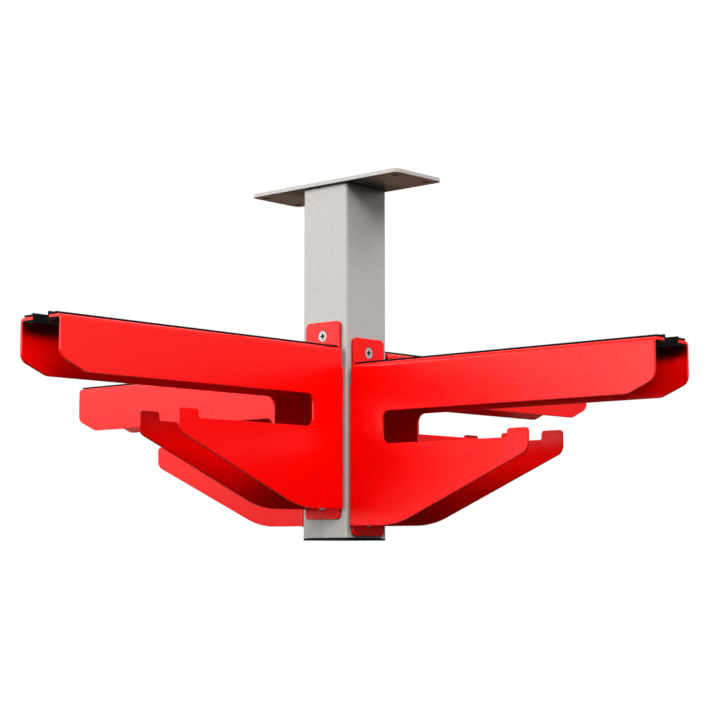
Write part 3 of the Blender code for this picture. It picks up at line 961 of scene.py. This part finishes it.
def screw_profile(f):
    """Radius and height from the tip up to the edge of the head's face."""
    radius = f.screw_diameter / 2
    crest = radius - 0.0001
    root = radius - f.thread_depth
    head = f.head_diameter / 2
    neck = head + f.head_land - radius
    soft = f.head_rounding
    point = 0.0008
    plain = 0.0020
    runout = 0.0004
    start = -f.screw_length + point
    profile = [(crest - point, -f.screw_length), (crest, start)]
    for index in range(int((f.screw_length - neck - point - plain) / f.thread_pitch)):
        base = start + index * f.thread_pitch
        profile += [
            (root, base + 0.50 * f.thread_pitch),
            (root, base + 0.56 * f.thread_pitch),
            (crest, base + f.thread_pitch),
        ]
    return profile + [
        (crest, -neck - runout),
        (radius, -neck),
        (head, -f.head_land),
        (head, -soft),
        (head - soft * 0.3, -soft * 0.3),
        (head - soft, 0),
    ]


def recess_mesh(f):
    """Tapered cross with filled inner corners, point down, for the screw's head."""
    def cross(span, width, fillet, height):
        points = []
        for quarter in range(4):
            turn = Matrix.Rotation(math.pi / 2 * quarter, 3, "Z")
            corner = ((span, -width), (span, width), (width + fillet, width), (width, width + fillet))
            points.extend(turn @ Vector((x, y, height)) for x, y in corner)
        return points

    span = f.recess_span / 2
    width = f.recess_width / 2
    point = 0.0005
    over = 0.0004
    # From the point up to above the head's face: half span, half width, fillet and height
    return stacked("recess", [
        cross(0.0002, 0.0001, 0.00005, -f.recess_depth - point),
        cross(span * 0.50, width * 0.80, 0.0002, -f.recess_depth),
        cross(span, width, 0.0006, 0),
        cross(span * 1.08, width * 1.05, 0.00065, over),
    ])


def nut_profile(f, wall, fit):
    """Radius and height round a rivet nut's section."""
    head = f.nut_head / 2
    outer = f.nut_body / 2
    bulge = f.nut_bulge / 2
    bore = f.screw_diameter / 2 + fit
    start = wall + fit
    soft = 0.0001
    chamfer = 0.0004
    fullness = 0.7
    steps = 8
    collar = []
    for step in range(1, steps):
        grow = math.sin(math.pi * step / steps) ** fullness
        height = -start - f.nut_bulge_length * (1 - step / steps)
        collar.append((outer + (bulge - outer) * grow, height))
    return [
        (bore, 0),
        (bore, -f.nut_length),
        (outer - chamfer, -f.nut_length),
        (outer, -f.nut_length + chamfer),
        (outer, -start - f.nut_bulge_length),
        *collar,
        (outer, -start),
        (outer, -f.nut_head_height),
        (head - soft, -f.nut_head_height),
        (head, -f.nut_head_height + soft),
        (head, -soft),
        (head - soft, 0),
    ]


def fastener_points(rack, reach):
    """A point for each fastener at a reach from the post's axis, with its outward direction."""
    points = []
    directions = []
    for name, turn in arms:
        place = arm_place(rack, name, turn)
        for height in screw_heights(rack.bracket):
            points.append(place @ Vector((reach, 0, height)))
            directions.append(place.to_3x3() @ Vector((1, 0, 0)))
    mesh = bpy.data.meshes.new("points")
    mesh.from_pydata(points, [], [])
    field = mesh.attributes.new("outwards", "FLOAT_VECTOR", "POINT")
    for item, direction in zip(field.data, directions):
        item.vector = direction
    return mesh


def place_fasteners(rack, name, mesh, reach, kind):
    """One piece with the fastener at its eight places, at a reach from the post's axis."""
    f = rack.fastener
    fastener = linked("one_fastener", shaded("fastener", mesh))
    zinc = finish_of(rack, "zinc_plating")
    copies = tree_result(name, fastener_points(rack, reach), fastener_tree(), {
        "Fastener": fastener, "Spin": f.spin, "Seed": f.seed, "Finish": zinc})
    bpy.data.objects.remove(fastener, do_unlink=True)
    nodes = [f"{kind}_{arm}_{row}" for arm, _ in arms for row in rows]
    place_piece(name, copies, zinc, "zinc_steel", *nodes)


class SkiRackOperator:
    """What every step of the rack shares."""
    bl_options = {"REGISTER", "UNDO"}


class SKIRACK_OT_plate(SkiRackOperator, bpy.types.Operator):
    """Make the ceiling plate with rounded edges and its four holes"""
    bl_idname = "skirack.plate"
    bl_label = "Ceiling plate"

    def execute(self, context):
        rack = context.scene.ski_rack
        mesh = shaded("plate", plate_mesh(rack))
        place_piece("painted_plate", mesh, finish_of(rack, "grey_paint"), "post_paint", "ceiling_plate")
        return {"FINISHED"}


class SKIRACK_OT_post(SkiRackOperator, bpy.types.Operator):
    """Make the square post with the holes for its rivet nuts"""
    bl_idname = "skirack.post"
    bl_label = "Post"

    def execute(self, context):
        rack = context.scene.ski_rack
        mesh = shaded("post", post_mesh(rack))
        place_piece("painted_post", mesh, finish_of(rack, "grey_paint"), "post_paint", "post_tube")
        return {"FINISHED"}


class SKIRACK_OT_weld(SkiRackOperator, bpy.types.Operator):
    """Run the weld round the head of the post"""
    bl_idname = "skirack.weld"
    bl_label = "Weld"

    def execute(self, context):
        rack = context.scene.ski_rack
        sizes = rack.post
        edge = post_half + rack.fit
        loop = rounded_square(edge, edge, sizes.corner_radius + rack.fit, post_high.z)
        path = bpy.data.meshes.new("weld_path")
        last = len(loop) - 1
        path.from_pydata(loop, [(k, k + 1) for k in range(last)] + [(last, 0)], [])
        leg = sizes.weld_leg
        hollowness = 1.25
        face = [(leg * max(math.cos(a), 0.0) ** hollowness, leg * math.sin(a) ** hollowness)
                for a in quarter_turns(6)]
        profile = profile_curve("weld_profile", [(0.0, 0.0), *face])
        paint = finish_of(rack, "grey_paint")
        mesh = tree_result("weld", path, weld_tree(), {
            "Profile": profile, "Pitch": sizes.weld_pitch, "Ripple": sizes.weld_ripple,
            "Seed": float(sizes.weld_seed), "Finish": paint})
        bpy.data.objects.remove(profile, do_unlink=True)
        # Painted shade over the whole bead
        marked(mesh, "shade", lambda face: sizes.weld_shade)
        place_piece("weld_bead", smoothed(outwards(mesh)), paint, "post_paint", "post_weld")
        return {"FINISHED"}


class SKIRACK_OT_cap(SkiRackOperator, bpy.types.Operator):
    """Make the plastic cap that closes the post"""
    bl_idname = "skirack.cap"
    bl_label = "End cap"

    def execute(self, context):
        rack = context.scene.ski_rack
        mesh = shaded("cap", cap_mesh(rack))
        place_piece("moulded_cap", mesh, finish_of(rack, "black_plastic"), "cap_plastic", "end_cap")
        return {"FINISHED"}


class SKIRACK_OT_brackets(SkiRackOperator, bpy.types.Operator):
    """Fold the four brackets"""
    bl_idname = "skirack.brackets"
    bl_label = "Brackets"

    def execute(self, context):
        rack = context.scene.ski_rack
        folded = bracket_mesh(rack)
        for name, turn in arms:
            mesh = folded.copy()
            mesh.transform(arm_place(rack, name, turn))
            top = arm_top(rack, name)
            marked(mesh, "arm_top", lambda face: top)
            mesh = shaded(f"folded_{name}", mesh)
            place_piece(f"folded_bracket_{name}", mesh, finish_of(rack, "red_powder_coat"),
                        "red_paint", f"bracket_{name}")
        return {"FINISHED"}


class SKIRACK_OT_trims(SkiRackOperator, bpy.types.Operator):
    """Push the rubber trims on the lips"""
    bl_idname = "skirack.trims"
    bl_label = "Edge trims"

    def execute(self, context):
        rack = context.scene.ski_rack
        tree = sweep_tree()
        rubber = finish_of(rack, "black_rubber")
        start = post_half + rack.fit + rack.bracket.bend_inner_radius + rack.bracket.sheet
        end = post_half + rack.bracket.arm_reach
        for letter, side in (("a", 1), ("b", -1)):
            profile = profile_curve("trim_profile", trim_profile(rack, side))
            for name, turn in arms:
                place = arm_place(rack, name, turn)
                line = bpy.data.meshes.new("lip")
                line.from_pydata([place @ Vector((x, 0, 0)) for x in (start, end)], [(0, 1)], [])
                mesh = tree_result("trim", line, tree, {"Profile": profile, "Finish": rubber})
                place_piece(f"rubber_trim_{name}_{letter}", shaded("trim", outwards(mesh)), rubber,
                            "trim_rubber", f"edge_trim_{name}_{letter}")
            bpy.data.objects.remove(profile, do_unlink=True)
        return {"FINISHED"}


class SKIRACK_OT_screws(SkiRackOperator, bpy.types.Operator):
    """Drive the eight countersunk screws"""
    bl_idname = "skirack.screws"
    bl_label = "Screws"

    def execute(self, context):
        rack = context.scene.ski_rack
        f = rack.fastener
        driven = cut("screw", turned("screw", screw_profile(f)), recess_mesh(f))
        span = f.recess_span / 2
        rim = f.head_diameter / 2 - f.head_rounding

        # Painted shade in the cross recess and round the head's rim
        def shade_of(face):
            away = face.center.to_2d().length
            in_recess = away < span and -f.recess_depth * 2 < face.center.z < -f.head_rounding / 2
            return in_recess or away > rim and face.center.z > -f.head_land

        marked(driven, "shade", shade_of)
        reach = post_half + rack.fit + rack.bracket.sheet - f.sink
        place_fasteners(rack, "cross_screws", driven, reach, "screw")
        return {"FINISHED"}


class SKIRACK_OT_nuts(SkiRackOperator, bpy.types.Operator):
    """Set the eight rivet nuts in the post's wall"""
    bl_idname = "skirack.nuts"
    bl_label = "Rivet nuts"

    def execute(self, context):
        rack = context.scene.ski_rack
        profile = nut_profile(rack.fastener, rack.post.wall, rack.fit)
        place_fasteners(rack, "rivet_nuts", turned("nut", profile, closed=True), post_half, "rivet_nut")
        return {"FINISHED"}


# Stage

# The floor's colour in the picture, its colour for other light, and how far gloss shows it pale
floor_pale = (0.93, 0.93, 0.93)
floor_dim = (0.05, 0.04, 0.035)
floor_mirrored = 0.12

# The room's colours from low to high, and between which rises of the direction they change.
# The first ones light the rack, and the mirrored ones show in its gloss alone.
white = (1, 1, 1)
room_low, room_high, room_rise = (0.012, 0.010, 0.008), (0.20, 0.20, 0.202), (-0.05, 0.30)
mirrored_low, mirrored_mid = (0.178, 0.142, 0.095), (0.030, 0.024, 0.018)
mirrored_rise, mirrored_white = (-0.16, -0.08), (-0.01, 0.14)

# Softboxes: name, degrees round from the front arm to the right arm, degrees up, level.
# At level 1 a face square to the lamp shows its own colour.
lamps = (
    ("front", 48, 28, 0.540),
    ("front_left", 16, 28, 0.062),
    ("front_left_low", 16, 8, 0.060),
    ("left", -16, 30, 0.220),
    ("left_low", -16, 4, 0.335),
    ("far_left", -48, 28, 0.142),
    ("far_left_low", -48, 11, 0.128),
    ("right", 80, 28, 0.150),
    ("right_high", 80, 50, 0.220),
    ("right_rear_high", 112, 48, 0.310),
    ("right_rear_low", 112, 10, 0.070),
    ("below", -20, -25, 0.026),
    ("rear", 200, 20, 0.420),
    ("rear_left", 250, 20, 0.420),
)
lamp_distance = 4.2
lamp_width, lamp_height = 1.9, 1.5


def floor_material(stage):
    """Pale floor that fades into the background, and gives little light back."""
    material = bpy.data.materials.new("floor")
    material.use_nodes = True
    tree = material.node_tree
    tree.nodes.remove(tree.nodes["Principled BSDF"])
    rays = add_node(tree, "ShaderNodeLightPath").outputs
    mirrored = calc(tree, "MULTIPLY", rays["Is Glossy Ray"], floor_mirrored)
    seen = joined(tree, "MAXIMUM", rays["Is Camera Ray"], mirrored, rays["Is Transmission Ray"])
    ground = add_node(tree, "ShaderNodeBsdfDiffuse", {"Color": mixed(tree, seen, floor_dim, floor_pale)})
    clear = add_node(tree, "ShaderNodeBsdfTransparent")
    place = add_node(tree, "ShaderNodeTexCoord").outputs["Object"]
    apart = add_node(tree, "ShaderNodeSeparateXYZ", {"Vector": place}).outputs
    level = add_node(tree, "ShaderNodeCombineXYZ", {"X": apart["X"], "Y": apart["Y"]})
    away = add_node(tree, "ShaderNodeVectorMath", {0: level.outputs["Vector"]}, operation="LENGTH")
    fade = ramp(tree, away.outputs["Value"], stage.floor_clear, stage.floor_radius)
    mix = add_node(tree, "ShaderNodeMixShader", {
        0: fade, 1: ground.outputs["BSDF"], 2: clear.outputs["BSDF"]})
    fill(tree, tree.nodes["Material Output"], {"Surface": mix.outputs["Shader"]})
    return material


def make_world():
    """White background; a soft room for the light, pale above and warm and dim below."""
    world = bpy.data.worlds.new("studio")
    world.use_nodes = True
    bpy.context.scene.world = world
    tree = world.node_tree
    place = add_node(tree, "ShaderNodeTexCoord").outputs["Generated"]
    up = add_node(tree, "ShaderNodeSeparateXYZ", {"Vector": place}).outputs["Z"]
    rays = add_node(tree, "ShaderNodeLightPath").outputs
    room = mixed(tree, ramp(tree, up, *room_rise), room_low, room_high)
    ground = mixed(tree, ramp(tree, up, *mirrored_rise), mirrored_low, mirrored_mid)
    mirrored = mixed(tree, ramp(tree, up, *mirrored_white), ground, white)
    light = mixed(tree, rays["Is Glossy Ray"], room, mirrored)
    through = calc(tree, "MAXIMUM", rays["Is Camera Ray"], rays["Is Transmission Ray"])
    fill(tree, tree.nodes["Background"], {
        "Color": mixed(tree, through, light, white), "Strength": 1.0})


def softbox(name, azimuth, elevation, level):
    """A lamp that faces the rack and isn't in the picture; those in front and behind give no gleam."""
    lamp = adjusted(bpy.data.lights.new(name, "AREA"), shape="RECTANGLE", size=lamp_width,
                    size_y=lamp_height, energy=level * (math.pi * lamp_distance) ** 2)
    turn, rise = math.radians(azimuth), math.radians(elevation)
    level_share = math.cos(rise)
    towards = Vector((math.sin(turn) * level_share, -math.cos(turn) * level_share, math.sin(rise)))
    middle = Vector((0, 0, cap_low.z / 2))
    adjusted(linked(name + "_light", lamp), location=middle + towards * lamp_distance,
             rotation_mode="QUATERNION", rotation_quaternion=towards.to_track_quat("Z", "Y"),
             visible_camera=False, visible_glossy=not name.startswith(("rear", "front")))


class SKIRACK_OT_stage(SkiRackOperator, bpy.types.Operator):
    """Lay the floor, set the light and the camera"""
    bl_idname = "skirack.stage"
    bl_label = "Stage"

    def execute(self, context):
        stage = context.scene.ski_rack.stage
        body = bmesh.new()
        bmesh.ops.create_circle(body, cap_ends=True, segments=96, radius=stage.floor_radius)
        bmesh.ops.translate(body, vec=(0, 0, stage.floor_height), verts=body.verts)
        floor_mesh = mesh_from("floor", body)
        floor_mesh.materials.append(floor_material(stage))
        linked("floor", floor_mesh)
        make_world()
        for lamp in lamps:
            softbox(*lamp)
        lens = adjusted(bpy.data.cameras.new("camera"), lens=stage.lens, sensor_width=36.0)
        turn = stage.camera_azimuth
        place = (stage.camera_distance * math.sin(turn), -stage.camera_distance * math.cos(turn),
                 stage.camera_height)
        aim = turn + stage.camera_yaw
        level = math.cos(stage.camera_pitch)
        ahead = Vector((-math.sin(aim) * level, math.cos(aim) * level, math.sin(stage.camera_pitch)))
        bpy.context.scene.camera = adjusted(
            linked("camera", lens), location=place, rotation_mode="QUATERNION",
            rotation_quaternion=ahead.to_track_quat("-Z", "Y"))
        bpy.context.scene.view_settings.view_transform = "Standard"
        return {"FINISHED"}


steps = (
    SKIRACK_OT_plate, SKIRACK_OT_post, SKIRACK_OT_weld, SKIRACK_OT_cap, SKIRACK_OT_brackets,
    SKIRACK_OT_trims, SKIRACK_OT_screws, SKIRACK_OT_nuts, SKIRACK_OT_stage,
)


class SKIRACK_PT_panel(bpy.types.Panel):
    """The rack's steps in the sidebar"""
    bl_idname = "SKIRACK_PT_panel"
    bl_label = "Ceiling ski rack"
    bl_space_type = "VIEW_3D"
    bl_region_type = "UI"
    bl_category = "Ski rack"

    def draw(self, context):
        for step in steps:
            self.layout.operator(step.bl_idname)


classes = (
    SKIRACK_PG_plate, SKIRACK_PG_post, SKIRACK_PG_cap, SKIRACK_PG_bracket, SKIRACK_PG_trim,
    SKIRACK_PG_fastener, SKIRACK_PG_finish, SKIRACK_PG_stage, SKIRACK_PG_rack,
    *steps, SKIRACK_PT_panel,
)


def register():
    """Registers the groups, the steps and the panel."""
    for item in classes:
        bpy.utils.register_class(item)
    bpy.types.Scene.ski_rack = PointerProperty(type=SKIRACK_PG_rack)


def unregister():
    """Takes back what register did."""
    del bpy.types.Scene.ski_rack
    for item in reversed(classes):
        bpy.utils.unregister_class(item)


def main():
    """Builds the rack step by step."""
    register()
    for step in steps:
        family, name = step.bl_idname.split(".")
        getattr(getattr(bpy.ops, family), name)()


if __name__ == "__main__":
    main()
